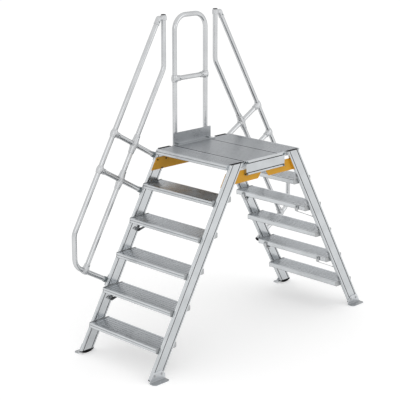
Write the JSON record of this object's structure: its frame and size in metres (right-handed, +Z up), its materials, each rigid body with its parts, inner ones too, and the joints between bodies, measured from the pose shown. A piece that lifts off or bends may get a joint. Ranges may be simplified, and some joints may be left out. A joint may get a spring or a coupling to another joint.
{
  "type": "crossover platform",
  "caption": "Free-standing crossover platform with two opposed tread flights, a planked deck and a tubular guard rail on one side.",
  "frame": {"origin": "on the floor, midway between the two flights and midway between the outer edges of the floor brackets", "axes": "+X along the way across from the left to the right flight, +Y across the treads to the side with the guard rail, +Z up"},
  "size_m": [2.6424, 0.98, 2.6791],
  "materials": {
    "profile_aluminium": "satin mill finish",
    "tread_aluminium": "ribbed mill finish",
    "sheet_aluminium": "satin",
    "tube_aluminium": "satin",
    "cast_fittings": "cast, satin",
    "gusset_coating": "powder coated, satin",
    "black_plastic": "matt"
  },
  "bodies": {
    "root": {"near_left_stringer": "profile_aluminium", "far_left_stringer": "profile_aluminium", "near_right_stringer": "profile_aluminium", "far_right_stringer": "profile_aluminium", "left_tread_1": "tread_aluminium", "left_tread_2": "tread_aluminium", "left_tread_3": "tread_aluminium", "left_tread_4": "tread_aluminium", "left_tread_5": "tread_aluminium", "right_tread_1": "tread_aluminium", "right_tread_2": "tread_aluminium", "right_tread_3": "tread_aluminium", "right_tread_4": "tread_aluminium", "right_tread_5": "tread_aluminium", "left_tread_end_plates": "sheet_aluminium", "right_tread_end_plates": "sheet_aluminium", "left_tread_braces": "sheet_aluminium", "right_tread_braces": "sheet_aluminium", "left_deck_plank": "tread_aluminium", "middle_deck_plank": "tread_aluminium", "right_deck_plank": "tread_aluminium", "near_side_beam": "profile_aluminium", "far_side_beam": "profile_aluminium", "near_gussets": "gusset_coating", "far_gussets": "gusset_coating", "stringer_top_caps": "black_plastic", "stringer_shoes": "black_plastic", "floor_brackets": "sheet_aluminium", "toe_board": "sheet_aluminium", "hoop": "tube_aluminium", "hoop_crossbar": "tube_aluminium", "hoop_tees": "cast_fittings", "hoop_clamps": "cast_fittings", "left_handrail": "tube_aluminium", "left_mid_rail": "tube_aluminium", "left_rail_posts": "tube_aluminium", "left_rail_fittings": "cast_fittings", "left_rail_clamps": "cast_fittings", "right_handrail": "tube_aluminium", "right_mid_rail": "tube_aluminium", "right_rail_posts": "tube_aluminium", "right_rail_fittings": "cast_fittings", "right_rail_clamps": "cast_fittings", "tube_plugs": "black_plastic"}
  },
  "joints": []
}
